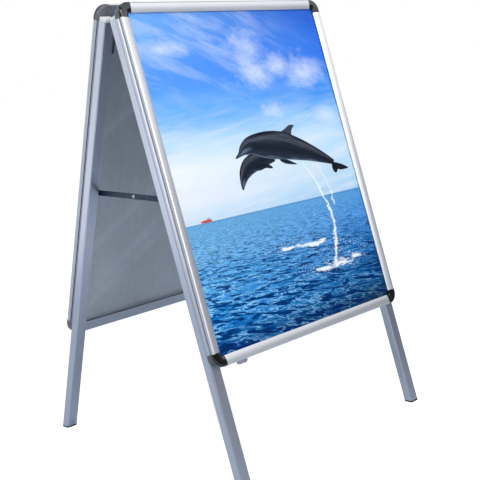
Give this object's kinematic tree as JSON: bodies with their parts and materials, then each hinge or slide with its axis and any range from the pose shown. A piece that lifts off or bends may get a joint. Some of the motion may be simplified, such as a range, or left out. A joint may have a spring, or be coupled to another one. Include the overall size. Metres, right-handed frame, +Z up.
{
  "type": "sandwich board",
  "caption": "Folding A-frame pavement sign with a snap frame poster panel on each face, square tube legs and side stays.",
  "frame": {"origin": "middle of the footprint, at floor level", "axes": "+Z up, +X to the right seen from the front, the front panel faces -Y"},
  "size_m": [0.6352, 0.6298, 1.0074],
  "materials": {
    "frame_aluminium": "natural anodised, satin",
    "leg_aluminium": "natural anodised, satin",
    "corner_chrome": "polished, dark",
    "corner_grey": "moulded, satin",
    "galvanised_sheet": "galvanised, dull",
    "poster_paper": "printed, matt",
    "clear_cover": "clear sheet, slight sheen",
    "white_plastic": "moulded",
    "black_plastic": "moulded",
    "fastener_steel": "zinc plated",
    "spring_steel": "spring temper",
    "bracket_steel": "black coated",
    "stay_steel": "dark blue-grey coated"
  },
  "bodies": {
    "rear_frame": {"rear_base_top": "frame_aluminium", "rear_base_bottom": "frame_aluminium", "rear_base_left": "frame_aluminium", "rear_base_right": "frame_aluminium", "rear_leg_left": "leg_aluminium", "rear_foot_left": "black_plastic", "rear_hinge_bracket_left": "bracket_steel", "rear_leg_right": "leg_aluminium", "rear_foot_right": "black_plastic", "rear_hinge_bracket_right": "bracket_steel", "rear_flap_springs": "spring_steel", "rear_corner_keys": "corner_grey", "rear_corner_caps": "corner_chrome", "rear_back_panel": "galvanised_sheet", "rear_poster": "poster_paper", "rear_poster_cover": "clear_cover", "rear_leg_plugs": "white_plastic", "rear_foot_screws": "fastener_steel", "rear_leg_rivets": "fastener_steel", "rear_bracket_rivets": "fastener_steel", "rear_stay_pins": "fastener_steel", "rear_drain_plug": "corner_grey", "hinge_bolts": "fastener_steel", "hinge_nuts": "fastener_steel"},
    "front_frame": {"front_base_top": "frame_aluminium", "front_base_bottom": "frame_aluminium", "front_base_left": "frame_aluminium", "front_base_right": "frame_aluminium", "front_leg_left": "leg_aluminium", "front_foot_left": "black_plastic", "front_hinge_bracket_left": "bracket_steel", "front_leg_right": "leg_aluminium", "front_foot_right": "black_plastic", "front_hinge_bracket_right": "bracket_steel", "front_flap_springs": "spring_steel", "front_corner_keys": "corner_grey", "front_corner_caps": "corner_chrome", "front_back_panel": "galvanised_sheet", "front_poster": "poster_paper", "front_poster_cover": "clear_cover", "front_leg_plugs": "white_plastic", "front_foot_screws": "fastener_steel", "front_leg_rivets": "fastener_steel", "front_bracket_rivets": "fastener_steel", "front_stay_pins": "fastener_steel", "front_drain_plug": "corner_grey"},
    "front_top_flap": {"front_flap_top": "frame_aluminium"},
    "front_bottom_flap": {"front_flap_bottom": "frame_aluminium"},
    "front_left_flap": {"front_flap_left": "frame_aluminium"},
    "front_right_flap": {"front_flap_right": "frame_aluminium"},
    "rear_top_flap": {"rear_flap_top": "frame_aluminium"},
    "rear_bottom_flap": {"rear_flap_bottom": "frame_aluminium"},
    "rear_left_flap": {"rear_flap_left": "frame_aluminium"},
    "rear_right_flap": {"rear_flap_right": "frame_aluminium"},
    "front_stay_link_left_body": {"front_stay_link_left": "stay_steel", "stay_rivet_left": "fastener_steel"},
    "rear_stay_link_left_body": {"rear_stay_link_left": "stay_steel"},
    "front_stay_link_right_body": {"front_stay_link_right": "stay_steel", "stay_rivet_right": "fastener_steel"},
    "rear_stay_link_right_body": {"rear_stay_link_right": "stay_steel"}
  },
  "joints": [
    {"name": "fold", "type": "hinge", "parent": "rear_frame", "child": "front_frame", "pos_m": [0, 0, 0.98322], "axis": [1, 0, 0], "range_deg": [0, 32.8]},
    {"name": "front_top_flap_hinge", "type": "hinge", "parent": "front_frame", "child": "front_top_flap", "pos_m": [0, -0.03283, 1.00309], "axis": [-1, 0, 0], "range_deg": [0, 90]},
    {"name": "front_bottom_flap_hinge", "type": "hinge", "parent": "front_frame", "child": "front_bottom_flap", "pos_m": [0, -0.25328, 0.25406], "axis": [1, 0, 0], "range_deg": [0, 90]},
    {"name": "front_left_flap_hinge", "type": "hinge", "parent": "front_frame", "child": "front_left_flap", "pos_m": [-0.3142, -0.14305, 0.62858], "axis": [0, -0.2823, -0.9593], "range_deg": [0, 90]},
    {"name": "front_right_flap_hinge", "type": "hinge", "parent": "front_frame", "child": "front_right_flap", "pos_m": [0.3142, -0.14305, 0.62858], "axis": [0, 0.2823, 0.9593], "range_deg": [0, 90]},
    {"name": "rear_top_flap_hinge", "type": "hinge", "parent": "rear_frame", "child": "rear_top_flap", "pos_m": [0, 0.03283, 1.00309], "axis": [1, 0, 0], "range_deg": [0, 90]},
    {"name": "rear_bottom_flap_hinge", "type": "hinge", "parent": "rear_frame", "child": "rear_bottom_flap", "pos_m": [0, 0.25328, 0.25406], "axis": [-1, 0, 0], "range_deg": [0, 90]},
    {"name": "rear_left_flap_hinge", "type": "hinge", "parent": "rear_frame", "child": "rear_left_flap", "pos_m": [-0.3142, 0.14305, 0.62858], "axis": [0, -0.2823, 0.9593], "range_deg": [0, 90]},
    {"name": "rear_right_flap_hinge", "type": "hinge", "parent": "rear_frame", "child": "rear_right_flap", "pos_m": [0.3142, 0.14305, 0.62858], "axis": [0, 0.2823, -0.9593], "range_deg": [0, 90]},
    {"name": "front_stay_pivot_left", "type": "hinge", "parent": "front_frame", "child": "front_stay_link_left_body", "pos_m": [-0.2896, -0.12893, 0.59385], "axis": [1, 0, 0], "range_deg": [0, 67.5]},
    {"name": "rear_stay_pivot_left", "type": "hinge", "parent": "rear_frame", "child": "rear_stay_link_left_body", "pos_m": [-0.2896, 0.12893, 0.59385], "axis": [1, 0, 0], "range_deg": [-67.5, 0]},
    {"name": "front_stay_pivot_right", "type": "hinge", "parent": "front_frame", "child": "front_stay_link_right_body", "pos_m": [0.2896, -0.12893, 0.59385], "axis": [1, 0, 0], "range_deg": [0, 67.5]},
    {"name": "rear_stay_pivot_right", "type": "hinge", "parent": "rear_frame", "child": "rear_stay_link_right_body", "pos_m": [0.2896, 0.12893, 0.59385], "axis": [1, 0, 0], "range_deg": [-67.5, 0]}
  ],
  "couplings": [
    {"joint": "front_stay_pivot_left", "follows": "fold", "ratio": 2.0573},
    {"joint": "rear_stay_pivot_left", "follows": "fold", "ratio": -2.0573},
    {"joint": "front_stay_pivot_right", "follows": "fold", "ratio": 2.0573},
    {"joint": "rear_stay_pivot_right", "follows": "fold", "ratio": -2.0573}
  ]
}
